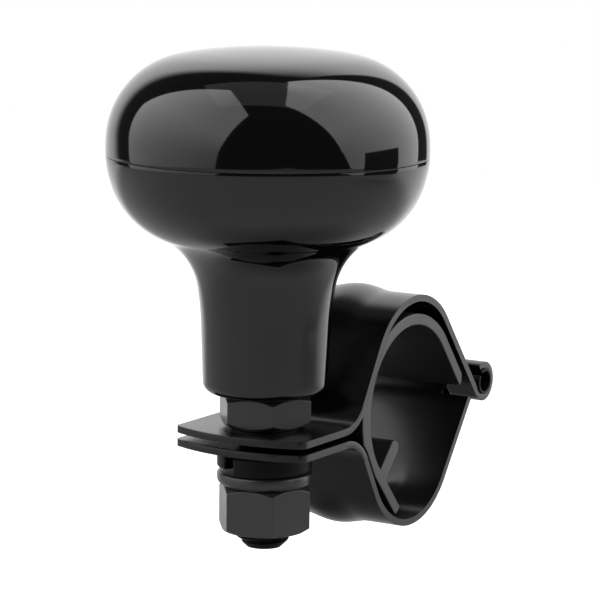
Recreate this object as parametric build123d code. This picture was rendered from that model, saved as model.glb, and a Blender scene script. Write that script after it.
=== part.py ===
from build123d import *
from math import cos, radians, sin, tan
import os

# Steering wheel spinner knob on a hinged two-piece clamp. Millimetres. The origin is the centre of the
# wheel rim that the clamp takes, Y runs along the rim, Z is up along the stud, and the hinge lies on +X.

# Rim and clamp bands
rim_radius = 14.2
stud_beside_rim = 14.1
sheet = 1.2
band_width = 25.4
flange_gap = 1.1
gap_middle = -2.05
flange_reach = 11.0
flange_end_radius = 29.0
flange_corner = 0.6
stud_hole_clearance = 0.5

# Upper band
arch_ease = 0.2
arch_x = 1.1
arch_z = 4.85
near_slope = 59.0
far_slope = 51.0
upper_bend = 7.1

# Lower band
belly_z = -6.65
lower_near_slope = 60.0
lower_far_slope = 53.8
lower_bend = 7.5

# Pressed bead across the middle of each band
bead_width = 11.0
bead_height = 0.9
bead_reach = 50.0

# Hinge
hinge_z = 0.2
knuckle_radius = 3.0
knuckle_wrap = 262.0
front_knuckle = 5.6
knuckle_side_gap = 0.25
knuckle_relief = 5.4
pin_clearance = 0.05
pin_wall = 0.5
pin_slit = 0.7
pin_overhang = 0.3

# Rubber pad
pad_thickness = 2.0
pad_cheek = 2.8
pad_cheek_from = 148.0
pad_cheek_to = 206.0
pad_leg = 10.6
pad_tail = 10.8
pad_tail_slope = 48.5
pad_tip_chamfer = 1.1
pad_seat_clearance = 0.05
pad_free_clearance = 0.55
pad_side_inset = 0.1
lip_from_side = 4.3
lip_from_bottom = 3.2
lip_slope = 46.0
lip_length = 6.0
lip_thickness = 2.8

# Nuts and washers on the stud
thread_radius = 4.7
thread_clearance = 0.05
nut_flats = 14.29
nut_chamfer_share = 0.98
nut_chamfer_angle = 33.0
jam_nut_height = 5.55
jam_nut_face = 0.5
jam_nut_face_radius = 6.0
jam_nut_lift = 0.05
nut_turn = -18.3
spring_washer_radius = 8.1
spring_washer_bore = 5.2
spring_washer_height = 3.2
spring_washer_lead = 0.9
spring_washer_slit = 14.0
spring_washer_turn = 170.0
washer_radius = 8.1
washer_height = 2.4
washer_edge = 1.3
washer_bevel = 0.3
clamp_nut_height = 7.9
stud_end_length = 2.85
stud_end_chamfer = 1.7

# Knob outline, from the top of the dome down to the foot of the neck
knob_top = 63.84
crown_radius = 92.4
crown_sweep = 7.3
brow_radius = 39.5
brow_sweep = 5.5
shoulder_radius = 14.9
shoulder_sweep = 73.0
side_radius = 32.7
bowl_radius = 18.2
bowl_sweep = 21.7
under_radius = 14.4
under_sweep = 44.9
throat_radius = 11.1
throat_lean = 9.0
neck_radius = 51.9
neck_taper = 2.0
neck_foot = 5.6
foot_round = 2.0
seam_drop = 18.14
seam_gap = 0.15
knob_wall = 2.6
tongue_wall = 1.2
tongue_height = 3.0
tongue_clearance = 0.1
rib_count = 6
rib_thickness = 1.6
rib_drop = 5.7
bowl_depth = 18.2

# Bearings inside the neck
bearing_bore = 4.0
bearing_radius = 8.0
bearing_height = 5.0
bearing_seat_z = 8.5
bearing_spacing = 15.0
ball_radius = 1.2
ball_count = 7
race_clearance = 0.05
race_land = 0.85
cage_clearance = 0.12
cage_half_height = 1.45
pocket_clearance = 0.1
fit_clearance = 0.02
lip_hole_radius = 6.0
collar_clearance = 0.5
sleeve_wall = 1.1
hub_wall = 2.4
hub_rise = 2.5
circlip_height = 1.0
circlip_width = 1.4
circlip_bite = 0.55
circlip_gap = 56.0
lug_radius = 1.15
lug_hole = 0.5
thrust_washer_radius = 5.6
thrust_washer_height = 1.6
lock_nut_flats = 13.0
lock_nut_height = 6.5
stud_top_length = 1.2
stud_top_chamfer = 0.8

# Places that follow from the sizes above
half_sheet = sheet / 2
stud_offset = rim_radius + stud_beside_rim
arch_radius = rim_radius - arch_ease
belly_radius = rim_radius
upper_flange_z = gap_middle + flange_gap / 2 + half_sheet
lower_flange_z = gap_middle - flange_gap / 2 - half_sheet
flange_top = upper_flange_z + half_sheet
flange_bottom = lower_flange_z - half_sheet
flange_end = -stud_offset - flange_reach
jam_nut_base = flange_top + jam_nut_lift
jam_nut_top = jam_nut_base + jam_nut_height
spring_washer_base = flange_bottom - spring_washer_height - spring_washer_lead
washer_base = spring_washer_base - washer_height
clamp_nut_base = washer_base - clamp_nut_height
stud_tip = clamp_nut_base - stud_end_length
collar_radius = lip_hole_radius - collar_clearance
upper_bearing_z = bearing_seat_z + bearing_spacing
bearing_stack_top = upper_bearing_z + bearing_height
ball_circle = (bearing_bore + bearing_radius) / 2
lock_nut_base = bearing_stack_top + thrust_washer_height
stud_top = lock_nut_base + lock_nut_height + stud_top_length
seam_z = knob_top - seam_drop
rib_top = seam_z - rib_drop
bowl_floor = seam_z - bowl_depth
hub_top = bearing_stack_top + hub_rise


def straight(length):
    return ("straight", length, 0)


def turn(radius, angle):
    return ("turn", radius, angle)


# Edges of a smooth run of straights and bends, moved sideways to the left of its heading
def trace(start, heading, moves, shift=0):
    way = Vector(cos(radians(heading)), sin(radians(heading)))
    point = Vector(start[0], start[1]) + Vector(-way.Y, way.X) * shift
    edges = []
    for kind, size, angle in moves:
        if kind == "straight":
            edge = Line(point, point + way * size)
        else:
            side = 1 if angle > 0 else -1
            edge = JernArc(point, way, size - side * shift, angle)
        edges.append(edge)
        point = edge @ 1
        way = edge % 1
    return edges


# Closed outline between two copies of a run, one on each side of it
def ribbon(start, heading, moves, left, right):
    one = trace(start, heading, moves, left)
    other = trace(start, heading, moves, -right)
    ends = [Line(one[0] @ 0, other[0] @ 0), Line(one[-1] @ 1, other[-1] @ 1)]
    return make_face(one + other + ends)


def across(face, width):
    return extrude(Plane.XZ * face, amount=width / 2, both=True)


def on_stud(solid):
    return Pos(-stud_offset, 0, 0) * solid


def tube(outer, inner, height, base):
    ring = Circle(outer) - Circle(inner)
    return Pos(0, 0, base) * extrude(ring, amount=height)


# Round bar along Y through a point of the XZ plane
def bar(x, z, radius, length):
    return Pos(x, 0, z) * Rot(90, 0, 0) * Cylinder(radius, length)


def upper_run():
    bend_end_z = upper_flange_z + upper_bend * (1 - cos(radians(near_slope)))
    arch_start_x = arch_x - arch_radius * sin(radians(near_slope))
    arch_start_z = arch_z + arch_radius * cos(radians(near_slope))
    near_length = (arch_start_z - bend_end_z) / sin(radians(near_slope))
    bend_run = near_length * cos(radians(near_slope)) + upper_bend * sin(radians(near_slope))
    flat = arch_start_x - bend_run - flange_end
    arch_end_z = arch_z + arch_radius * cos(radians(far_slope))
    knuckle_start_z = hinge_z - knuckle_radius * cos(radians(far_slope))
    far_length = (arch_end_z - knuckle_start_z) / sin(radians(far_slope))
    moves = [straight(flat), turn(upper_bend, near_slope), straight(near_length)]
    moves += [turn(arch_radius, -near_slope - far_slope), straight(far_length)]
    return moves


def hinge_x_from_arch():
    arch_end_z = arch_z + arch_radius * cos(radians(far_slope))
    knuckle_start_z = hinge_z - knuckle_radius * cos(radians(far_slope))
    far_run = (arch_end_z - knuckle_start_z) / tan(radians(far_slope))
    return arch_x + (arch_radius + knuckle_radius) * sin(radians(far_slope)) + far_run


hinge_x = hinge_x_from_arch()


def belly_x_from_hinge():
    knuckle_end_z = hinge_z + knuckle_radius * cos(radians(lower_far_slope))
    belly_end_z = belly_z - belly_radius * cos(radians(lower_far_slope))
    far_run = (knuckle_end_z - belly_end_z) / tan(radians(lower_far_slope))
    return hinge_x - (knuckle_radius + belly_radius) * sin(radians(lower_far_slope)) - far_run


belly_x = belly_x_from_hinge()


def lower_run():
    belly_start_x = belly_x - belly_radius * sin(radians(lower_near_slope))
    belly_start_z = belly_z - belly_radius * cos(radians(lower_near_slope))
    bend_end_z = lower_flange_z - lower_bend * (1 - cos(radians(lower_near_slope)))
    near_length = (bend_end_z - belly_start_z) / sin(radians(lower_near_slope))
    bend_run = near_length * cos(radians(lower_near_slope)) + lower_bend * sin(radians(lower_near_slope))
    flat = belly_start_x - bend_run - flange_end
    knuckle_end_z = hinge_z + knuckle_radius * cos(radians(lower_far_slope))
    belly_end_z = belly_z - belly_radius * cos(radians(lower_far_slope))
    far_length = (knuckle_end_z - belly_end_z) / sin(radians(lower_far_slope))
    moves = [straight(flat), turn(lower_bend, -lower_near_slope), straight(near_length)]
    moves += [turn(belly_radius, lower_near_slope + lower_far_slope), straight(far_length)]
    return moves


# Barrel that follows a band's curve, highest over the middle and sinking into the sheet at its ends
def bead_barrel(centre_x, centre_z, radius, side, section_radius):
    rise = radius + half_sheet + bead_height
    flat_radius = radius + half_sheet
    reach = cos(radians(bead_reach))
    shift = (rise ** 2 - flat_radius ** 2) / (2 * (rise - flat_radius * reach))
    crest = rise - shift - (bead_section() - section_radius)
    profile = Pos(crest - section_radius, 0) * Circle(section_radius)
    profile &= Pos(crest, 0) * Rectangle(4 * bead_height + 2 * sheet, band_width)
    return Pos(centre_x, 0, centre_z + side * shift) * revolve(profile, Axis.Y)


def bead_section():
    return (bead_width ** 2 / 4 + bead_height ** 2) / (2 * bead_height)


# Layer beside a band's middle line, from a depth on its inner face to a height on its outer face
def beside_band(run, flange_z, side, height, depth):
    left = height if side > 0 else depth
    right = depth if side > 0 else height
    return across(ribbon((flange_end, flange_z), 0, run, left, right), band_width)


def with_bead(band, run, flange_z, centre, radius, side):
    crest = bead_barrel(*centre, radius, side, bead_section())
    hollow = bead_barrel(*centre, radius, side, bead_section() - sheet)
    crest &= beside_band(run, flange_z, side, 2 * bead_height, 0)
    hollow &= beside_band(run, flange_z, side, 2 * bead_height, sheet)
    return band + crest - hollow


# The free end of a flange is an arc in plan with rounded corners, and the stud goes through behind it
def trim_flange(band, flange_z):
    corner_drop = flange_end_radius - (flange_end_radius ** 2 - band_width ** 2 / 4) ** 0.5
    blank = Pos(flange_end + corner_drop / 2, 0, flange_z) * Box(corner_drop, band_width, 3 * sheet)
    keep = Pos(flange_end + flange_end_radius, 0, flange_z) * Cylinder(flange_end_radius, 4 * sheet)
    hole = Pos(-stud_offset, 0, flange_z) * Cylinder(thread_radius + stud_hole_clearance, 3 * sheet)
    trimmed = band - (blank - keep) - hole
    corners = trimmed.edges().filter_by(Axis.Z)
    corners = corners.filter_by(lambda edge: edge.center().X < flange_end + 1.5 * corner_drop)
    return fillet(corners, flange_corner)


def knuckle_room(length, middle):
    return Pos(0, middle, 0) * bar(hinge_x, hinge_z, knuckle_relief, length)


def make_upper_clamp():
    moves = upper_run() + [turn(knuckle_radius, knuckle_wrap)]
    band = across(ribbon((flange_end, upper_flange_z), 0, moves, half_sheet, half_sheet), band_width)
    band = with_bead(band, upper_run(), upper_flange_z, (arch_x, arch_z), arch_radius, 1)
    band -= knuckle_room(band_width - 2 * front_knuckle, 0)
    return trim_flange(band, upper_flange_z)


def make_lower_clamp():
    moves = lower_run() + [turn(knuckle_radius, -knuckle_wrap)]
    band = across(ribbon((flange_end, lower_flange_z), 0, moves, half_sheet, half_sheet), band_width)
    band = with_bead(band, lower_run(), lower_flange_z, (belly_x, belly_z), belly_radius, -1)
    side = front_knuckle + knuckle_side_gap
    for way in (-1, 1):
        band -= knuckle_room(side, way * (band_width - side) / 2)
    return trim_flange(band, lower_flange_z)


# Rolled pin: a tube with a slit along its length
def make_hinge_pin():
    outer = knuckle_radius - half_sheet - pin_clearance
    length = band_width + 2 * pin_overhang
    pin = bar(hinge_x, hinge_z, outer, length) - bar(hinge_x, hinge_z, outer - pin_wall, length)
    slit = Pos(hinge_x - outer / 2, 0, hinge_z + outer / 2) * Rot(0, 45, 0) * Box(2 * outer, length, pin_slit)
    slit &= bar(hinge_x - outer, hinge_z + outer, outer, length)
    return pin - slit


# Room inside the ring, bounded by the inner faces of the two bands
def ring_room():
    upper = trace((flange_end, upper_flange_z), 0, upper_run(), -half_sheet - pad_seat_clearance)
    lower = trace((flange_end, lower_flange_z), 0, lower_run(), half_sheet + pad_free_clearance)
    ends = [Line(upper[0] @ 0, lower[0] @ 0), Line(upper[-1] @ 1, lower[-1] @ 1)]
    return make_face(upper + lower + ends)


def on_rim(angle):
    return (rim_radius * cos(radians(angle)), rim_radius * sin(radians(angle)))


# Moulded strip that lines the rim, with a soft lip standing off its lower arm
def make_rim_pad():
    leg_angle = 90 - far_slope
    tail_angle = 270 - pad_tail_slope
    leg_end = Vector(*on_rim(leg_angle)) + Vector(cos(radians(far_slope)), -sin(radians(far_slope))) * pad_leg
    wrap = tail_angle - leg_angle
    moves = [straight(pad_leg), turn(rim_radius, wrap), straight(pad_tail)]
    strip = ribbon((leg_end.X, leg_end.Y), 180 - far_slope, moves, 0, pad_thickness)
    cheek_wrap = pad_cheek_to - pad_cheek_from
    cheek = ribbon(on_rim(pad_cheek_from), pad_cheek_from + 90, [turn(rim_radius, cheek_wrap)], 0, pad_cheek)
    lip = Pos(lip_from_side - rim_radius, lip_from_bottom - rim_radius) * Rot(0, 0, lip_slope) * Pos(lip_length / 2, 0) * SlotOverall(
        lip_length + lip_thickness, lip_thickness)
    outline = ((strip + cheek) & ring_room()) + lip
    outline -= Pos(leg_end.X, leg_end.Y) * Rot(0, 0, -far_slope) * tip_cut()
    return across(outline, band_width - 2 * pad_side_inset)


# Triangle that bevels the outer corner of the strip's upper end
def tip_cut():
    a = (-pad_tip_chamfer, pad_thickness)
    b = (0, pad_thickness - pad_tip_chamfer)
    c = (pad_tip_chamfer, pad_thickness + pad_tip_chamfer)
    return make_face([Line(a, b), Line(b, c), Line(c, a)])


# Hexagonal nut, bevelled at both faces
def hex_nut(flats, height, bore, base):
    corner = flats / 2 / cos(radians(30))
    face_radius = flats / 2 * nut_chamfer_share
    drop = (corner - face_radius) * tan(radians(nut_chamfer_angle))
    prism = extrude(RegularPolygon(corner, 6), amount=height)
    points = [(0, 0), (face_radius, 0), (corner, drop), (corner, height - drop), (face_radius, height), (0, height)]
    bevels = revolve(Plane.XZ * make_face(Polyline(*points, close=True)), Axis.Z)
    nut = (prism & bevels) - Pos(0, 0, height / 2) * Cylinder(bore, height)
    return Pos(0, 0, base) * Rot(0, 0, nut_turn) * nut


# The jam nut stands on a round washer face
def make_jam_nut():
    bore = thread_radius + thread_clearance
    nut = hex_nut(nut_flats, jam_nut_height - jam_nut_face, bore, jam_nut_base + jam_nut_face)
    return on_stud(nut + tube(jam_nut_face_radius, bore, jam_nut_face, jam_nut_base))


def make_clamp_nut():
    return on_stud(hex_nut(nut_flats, clamp_nut_height, thread_radius + thread_clearance, clamp_nut_base))


# Split ring wound as one turn of a helix, so that one end stands above the other
def make_spring_washer():
    width = spring_washer_radius - spring_washer_bore
    middle = (spring_washer_radius + spring_washer_bore) / 2
    share = 1 - spring_washer_slit / 360
    path = Helix(spring_washer_lead, spring_washer_lead * share, middle)
    section = Plane.XZ * Pos(middle, 0) * Rectangle(width, spring_washer_height)
    coil = sweep(section, path=path, is_frenet=True)
    base = spring_washer_base + spring_washer_height / 2
    return on_stud(Pos(0, 0, base) * Rot(0, 0, spring_washer_turn) * coil)


def washer_rims(washer):
    rims = washer.edges().filter_by(GeomType.CIRCLE)
    return rims.filter_by(lambda edge: edge.radius > thread_radius + sheet).sort_by(Axis.Z)


# Thick washer with its lower edge rolled over
def make_plain_washer():
    washer = tube(washer_radius, thread_radius + thread_clearance, washer_height, washer_base)
    washer = fillet(washer_rims(washer)[0], washer_edge)
    return on_stud(chamfer(washer_rims(washer)[-1], washer_bevel))


# One turned piece: threaded foot, collar under the lower bearing, bearing shank and threaded top
def make_stud():
    steps = [(0, stud_tip), (thread_radius - stud_end_chamfer, stud_tip)]
    steps += [(thread_radius, stud_tip + stud_end_chamfer), (thread_radius, jam_nut_top)]
    steps += [(collar_radius, jam_nut_top), (collar_radius, bearing_seat_z)]
    shank = bearing_bore - fit_clearance
    steps += [(shank, bearing_seat_z), (shank, stud_top - stud_top_chamfer)]
    steps += [(shank - stud_top_chamfer, stud_top), (0, stud_top)]
    return on_stud(revolve(Plane.XZ * make_face(Polyline(*steps, close=True)), Axis.Z))


def knob_moves():
    widest = 90 - crown_sweep - brow_sweep - shoulder_sweep
    throat = bowl_sweep + under_sweep - throat_lean
    moves = [turn(crown_radius, -crown_sweep), turn(brow_radius, -brow_sweep)]
    moves += [turn(shoulder_radius, -shoulder_sweep), turn(side_radius, -widest)]
    moves += [turn(bowl_radius, -bowl_sweep), turn(under_radius, -under_sweep)]
    moves += [turn(throat_radius, throat), turn(neck_radius, throat_lean - neck_taper)]
    return moves


# Turned body of the whole knob, cut in by an even wall
def knob_solid(inset):
    outer = trace((0, knob_top), 0, knob_moves(), 0)
    neck_drop = (outer[-1] @ 1).Y - neck_foot - foot_round * (1 - sin(radians(neck_taper)))
    neck = straight(neck_drop / cos(radians(neck_taper)))
    foot = turn(foot_round, neck_taper - 90)
    moves = knob_moves() + ([neck] if inset else [neck, foot])
    edges = trace((0, knob_top), 0, moves, -inset)
    low = edges[-1] @ 1
    edges += [Line(low, (0, low.Y)), Line((0, low.Y), edges[0] @ 0)]
    return revolve(Plane.XZ * make_face(edges), Axis.Z)


def slab(low, high):
    size = 4 * shoulder_radius + 2 * side_radius
    return Pos(0, 0, (low + high) / 2) * Box(size, size, high - low)


def seam_radius():
    rim = knob_solid(0) & slab(seam_z, seam_z + seam_gap)
    return rim.bounding_box().size.X / 2


# Ring that stands on the bowl's wall inside the cap
def tongue(clearance, depth):
    inner = seam_radius() - knob_wall
    return tube(inner + tongue_wall + clearance, inner - depth, tongue_height + clearance, seam_z)


def make_knob_cap():
    shell = (knob_solid(0) - knob_solid(knob_wall)) & slab(seam_z + seam_gap, knob_top + knob_wall)
    return on_stud(shell - tongue(tongue_clearance, knob_wall))


# Bowl and neck in one moulding: bearing housing, ribs to the wall, and a tongue for the cap
def make_knob_body():
    body = knob_solid(0) & slab(0, seam_z)
    inside = knob_solid(knob_wall)
    room = inside & slab(bowl_floor, seam_z)
    hub_radius = bearing_radius + hub_wall
    hub = Pos(0, 0, hub_top / 2) * Cylinder(hub_radius, hub_top)
    ribs = rib_star() & inside & slab(bowl_floor, rib_top)
    body = body - (room - hub - ribs)
    body += tongue(0, 0)
    bore = bearing_radius + fit_clearance
    body -= Pos(0, 0, (bearing_seat_z + rib_top) / 2) * Cylinder(bore, rib_top - bearing_seat_z)
    body -= Pos(0, 0, bearing_seat_z / 2) * Cylinder(lip_hole_radius, bearing_seat_z + sheet)
    groove = tube(bearing_radius + circlip_bite, bearing_radius - sheet, circlip_height, bearing_stack_top)
    return on_stud(body - groove)


def rib_star():
    reach = 2 * side_radius
    rib = Pos(reach / 2, 0, rib_top / 2) * Box(reach, rib_thickness, rib_top)
    star = rib
    for index in range(1, rib_count):
        star += Rot(0, 0, index * 360 / rib_count) * rib
    return star


def groove_torus(base):
    middle = base + bearing_height / 2
    return Pos(0, 0, middle) * Torus(ball_circle, ball_radius + race_clearance)


def bearing_inner(base):
    ring = tube(ball_circle - race_land, bearing_bore, bearing_height, base)
    return on_stud(ring - groove_torus(base))


def bearing_outer(base):
    ring = tube(bearing_radius, ball_circle + race_land, bearing_height, base)
    return on_stud(ring - groove_torus(base))


def ball_places(base):
    middle = Pos(0, 0, base + bearing_height / 2)
    return [middle * Rot(0, 0, i * 360 / ball_count) * Pos(ball_circle, 0, 0) for i in range(ball_count)]


def bearing_balls(base):
    return on_stud(Compound(children=[place * Sphere(ball_radius) for place in ball_places(base)]))


def bearing_cage(base):
    wall = race_land - cage_clearance
    low = base + bearing_height / 2 - cage_half_height
    cage = tube(ball_circle + wall, ball_circle - wall, 2 * cage_half_height, low)
    for place in ball_places(base):
        cage -= place * Rot(0, 90, 0) * Cylinder(ball_radius + pocket_clearance, 4 * race_land)
    return on_stud(cage)


def sleeve(outer, inner):
    height = bearing_spacing - bearing_height
    return on_stud(tube(outer, inner, height, bearing_seat_z + bearing_height))


# Spring ring in the housing's groove, open at one side, with an eye at each end
def make_bore_circlip():
    outer = bearing_radius + circlip_bite - fit_clearance
    inner = outer - circlip_width
    ring = Circle(outer) - Circle(inner)
    mouth = Pos(outer, 0) * Rectangle(outer, 2 * outer * sin(radians(circlip_gap / 2)))
    ring -= mouth
    for way in (-1, 1):
        eye = Rot(0, 0, way * circlip_gap / 2 * 1.25) * Pos(inner, 0)
        ring += eye * Circle(lug_radius)
        ring -= eye * Circle(lug_hole)
    return on_stud(Pos(0, 0, bearing_stack_top) * extrude(ring, amount=circlip_height))


def make_thrust_washer():
    return on_stud(tube(thrust_washer_radius, bearing_bore, thrust_washer_height, bearing_stack_top))


def make_lock_nut():
    return on_stud(hex_nut(lock_nut_flats, lock_nut_height, bearing_bore, lock_nut_base))


def bearing_nodes(name, base):
    return {
        name + "_bearing_outer_ring": bearing_outer(base),
        name + "_bearing_inner_ring": bearing_inner(base),
        name + "_bearing_balls": bearing_balls(base),
        name + "_bearing_cage": bearing_cage(base),
    }


def all_nodes():
    nodes = {
        "knob_cap": make_knob_cap(),
        "knob_body": make_knob_body(),
        "stud": make_stud(),
        "jam_nut": make_jam_nut(),
        "upper_clamp": make_upper_clamp(),
        "lower_clamp": make_lower_clamp(),
        "hinge_pin": make_hinge_pin(),
        "rim_pad": make_rim_pad(),
        "spring_washer": make_spring_washer(),
        "plain_washer": make_plain_washer(),
        "clamp_nut": make_clamp_nut(),
        "inner_sleeve": sleeve(bearing_bore + sleeve_wall, bearing_bore),
        "outer_sleeve": sleeve(bearing_radius, bearing_radius - sleeve_wall),
        "bore_circlip": make_bore_circlip(),
        "thrust_washer": make_thrust_washer(),
        "lock_nut": make_lock_nut(),
    }
    nodes.update(bearing_nodes("lower", bearing_seat_z))
    nodes.update(bearing_nodes("upper", upper_bearing_z))
    return nodes


os.makedirs("parts", exist_ok=True)
nodes = all_nodes()
for name, solid in nodes.items():
    export_step(solid, "parts/" + name + ".step")
print("hinge x", round(hinge_x, 3), "stud tip z", round(stud_tip, 3), "nodes", len(nodes))
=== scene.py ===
# %% [markdown]
# # A steering wheel spinner knob
# A glossy mushroom knob turns on two small ball bearings. Its stud goes through the flanges of two pressed
# steel bands, which are hinged together and close on the wheel's rim over a rubber pad.
# The CAD model is loaded first, and its shapes are never changed. It gives every piece its place and
# size, in metres, with the rim's centre at the origin, Y along the rim, Z up the stud and the hinge on the
# +X side.

from math import cos, pi, radians, sin, sqrt, tan

import bmesh
import bpy
from mathutils import Matrix, Vector


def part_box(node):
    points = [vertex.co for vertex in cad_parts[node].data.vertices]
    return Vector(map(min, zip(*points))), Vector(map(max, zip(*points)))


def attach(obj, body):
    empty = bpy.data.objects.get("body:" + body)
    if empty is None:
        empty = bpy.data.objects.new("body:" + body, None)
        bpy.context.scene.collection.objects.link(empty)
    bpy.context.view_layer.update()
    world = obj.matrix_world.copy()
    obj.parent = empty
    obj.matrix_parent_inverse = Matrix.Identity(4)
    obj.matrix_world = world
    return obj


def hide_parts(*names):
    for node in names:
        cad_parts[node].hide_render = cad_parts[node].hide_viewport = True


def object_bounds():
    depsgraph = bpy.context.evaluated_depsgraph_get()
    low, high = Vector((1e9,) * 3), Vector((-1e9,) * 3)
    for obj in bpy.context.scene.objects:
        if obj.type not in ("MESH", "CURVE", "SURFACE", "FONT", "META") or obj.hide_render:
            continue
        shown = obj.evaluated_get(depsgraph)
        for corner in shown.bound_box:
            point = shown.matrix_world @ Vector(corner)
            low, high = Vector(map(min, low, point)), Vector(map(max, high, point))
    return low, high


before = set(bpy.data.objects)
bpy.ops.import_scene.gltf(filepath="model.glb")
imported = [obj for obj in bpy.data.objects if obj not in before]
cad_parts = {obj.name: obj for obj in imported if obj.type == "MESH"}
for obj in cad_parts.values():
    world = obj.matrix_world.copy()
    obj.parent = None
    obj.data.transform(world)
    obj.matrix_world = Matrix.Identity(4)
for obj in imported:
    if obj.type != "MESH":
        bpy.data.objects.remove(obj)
cad_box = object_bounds()
MM = 0.001
print("CAD box, mm:", [[round(value / MM, 1) for value in corner] for corner in cad_box])

# %% [markdown]
# ## Sizes shared by the pieces
# A box round a CAD node gives most places, so that the scene follows the model when a size changes.
# The stud's axis, the foot of the neck and the seam of the knob all come from such boxes.

# %% Read places from the frame


def low(node, axis):
    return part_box(node)[0][axis] / MM


def high(node, axis):
    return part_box(node)[1][axis] / MM


STUD_X = (low("stud", 0) + high("stud", 0)) / 2
BAND_WIDTH = high("upper_clamp", 1) - low("upper_clamp", 1)
KNOB_TOP = high("knob_cap", 2)
NECK_FOOT = low("knob_body", 2)
print("stud axis at x", round(STUD_X, 2), "band width", round(BAND_WIDTH, 2), "knob top", round(KNOB_TOP, 2))

# %% [markdown]
# ## Shader groups for effects that several finishes share
# Powder coat, black oxide and rubber are never quite even: their gloss drifts over a centimetre or two and
# their skin has a fine grain. One node group gives both, and each material sets how fine its grain is.
# The shader itself stays in the material, so that the group only puts out values.

# %% Build the skin group
GRAIN_DETAIL = 3.0
DRIFT_DETAIL = 2.0
NOISE_LOW, NOISE_HIGH = 0.3, 0.7


def node(tree, kind, **settings):
    new = tree.nodes.new(kind)
    for name, value in settings.items():
        setattr(new, name, value)
    return new


def skin_group():
    group = bpy.data.node_groups.new("Fine skin", "ShaderNodeTree")
    for name in ("Grain scale", "Drift scale", "Gloss low", "Gloss high"):
        group.interface.new_socket(name=name, in_out="INPUT", socket_type="NodeSocketFloat")
    group.interface.new_socket(name="Roughness", in_out="OUTPUT", socket_type="NodeSocketFloat")
    group.interface.new_socket(name="Height", in_out="OUTPUT", socket_type="NodeSocketFloat")
    inputs = node(group, "NodeGroupInput")
    outputs = node(group, "NodeGroupOutput")
    where = node(group, "ShaderNodeTexCoord")
    grain = node(group, "ShaderNodeTexNoise")
    drift = node(group, "ShaderNodeTexNoise")
    spread = node(group, "ShaderNodeMapRange")
    grain.inputs["Detail"].default_value = GRAIN_DETAIL
    drift.inputs["Detail"].default_value = DRIFT_DETAIL
    spread.inputs["From Min"].default_value = NOISE_LOW
    spread.inputs["From Max"].default_value = NOISE_HIGH
    links = group.links
    links.new(where.outputs["Object"], grain.inputs["Vector"])
    links.new(where.outputs["Object"], drift.inputs["Vector"])
    links.new(inputs.outputs["Grain scale"], grain.inputs["Scale"])
    links.new(inputs.outputs["Drift scale"], drift.inputs["Scale"])
    links.new(drift.outputs["Fac"], spread.inputs["Value"])
    links.new(inputs.outputs["Gloss low"], spread.inputs["To Min"])
    links.new(inputs.outputs["Gloss high"], spread.inputs["To Max"])
    links.new(spread.outputs["Result"], outputs.inputs["Roughness"])
    links.new(grain.outputs["Fac"], outputs.inputs["Height"])
    return group


SKIN = skin_group()
print("skin group gives", [item.name for item in SKIN.interface.items_tree if item.in_out == "OUTPUT"])

# %% [markdown]
# A finish is one Principled shader fed by that group. It is described by its colour, by the range that its
# roughness drifts over, and by how fine and how deep its grain is. Grain goes through a Bump node, because
# it is far too small to be mesh.

# %% Turn a description into a finish
GRAIN_DEPTH = 0.05
DRIFT_SCALE = 60.0


def finish_material(name, colour, metallic, gloss, grain, bump, specular=0.5):
    """Gloss is the lowest and highest roughness, grain is its scale and bump its strength."""
    material = bpy.data.materials.new(name)
    material.use_nodes = True
    tree = material.node_tree
    shader = tree.nodes["Principled BSDF"]
    skin = node(tree, "ShaderNodeGroup", node_tree=SKIN)
    skin.inputs["Grain scale"].default_value = grain
    skin.inputs["Drift scale"].default_value = DRIFT_SCALE
    skin.inputs["Gloss low"].default_value, skin.inputs["Gloss high"].default_value = gloss
    relief = node(tree, "ShaderNodeBump")
    relief.inputs["Strength"].default_value = bump
    relief.inputs["Distance"].default_value = GRAIN_DEPTH * MM
    tree.links.new(skin.outputs["Height"], relief.inputs["Height"])
    tree.links.new(relief.outputs["Normal"], shader.inputs["Normal"])
    tree.links.new(skin.outputs["Roughness"], shader.inputs["Roughness"])
    shader.inputs["Base Color"].default_value = (*colour, 1.0)
    shader.inputs["Metallic"].default_value = metallic
    shader.inputs["Specular IOR Level"].default_value = specular
    return material


# %% [markdown]
# ## Finishes
# Everything outside is black, but each finish catches light in its own way: polished plastic mirrors the
# studio, powder coat blurs it, the oxide on the nuts is a shade greyer, and rubber hardly shines. Only the
# bare steel and brass of the bearings inside are set as metal.

# %% Make the finishes
GLOSS_PLASTIC = finish_material(
    "Polished black plastic", (0.0012, 0.0012, 0.0014), 0.0, gloss=(0.04, 0.07), grain=300.0, bump=0.0)
POWDER_COAT = finish_material(
    "Black powder coat", (0.003, 0.003, 0.0033), 0.0, gloss=(0.21, 0.28), grain=1500.0, bump=0.15,
    specular=0.35)
BLACK_OXIDE = finish_material(
    "Black oxide steel", (0.021, 0.021, 0.0215), 0.0, gloss=(0.26, 0.34), grain=1200.0, bump=0.15)
DULL_OXIDE = finish_material(
    "Dull black spring steel", (0.002, 0.002, 0.002), 0.0, gloss=(0.42, 0.52), grain=1200.0, bump=0.3,
    specular=0.12)
DARK_PLATING = finish_material(
    "Dark plated washer steel", (0.014, 0.014, 0.0145), 0.0, gloss=(0.28, 0.36), grain=900.0, bump=0.15,
    specular=0.55)
RUBBER = finish_material(
    "Black rubber", (0.0035, 0.0035, 0.0036), 0.0, gloss=(0.36, 0.46), grain=1800.0, bump=0.3, specular=0.6)
GROUND_STEEL = finish_material(
    "Ground bearing steel", (0.55, 0.55, 0.56), 1.0, gloss=(0.2, 0.3), grain=1400.0, bump=0.15)
POLISHED_STEEL = finish_material(
    "Polished ball steel", (0.75, 0.75, 0.76), 1.0, gloss=(0.04, 0.07), grain=600.0, bump=0.0)
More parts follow.
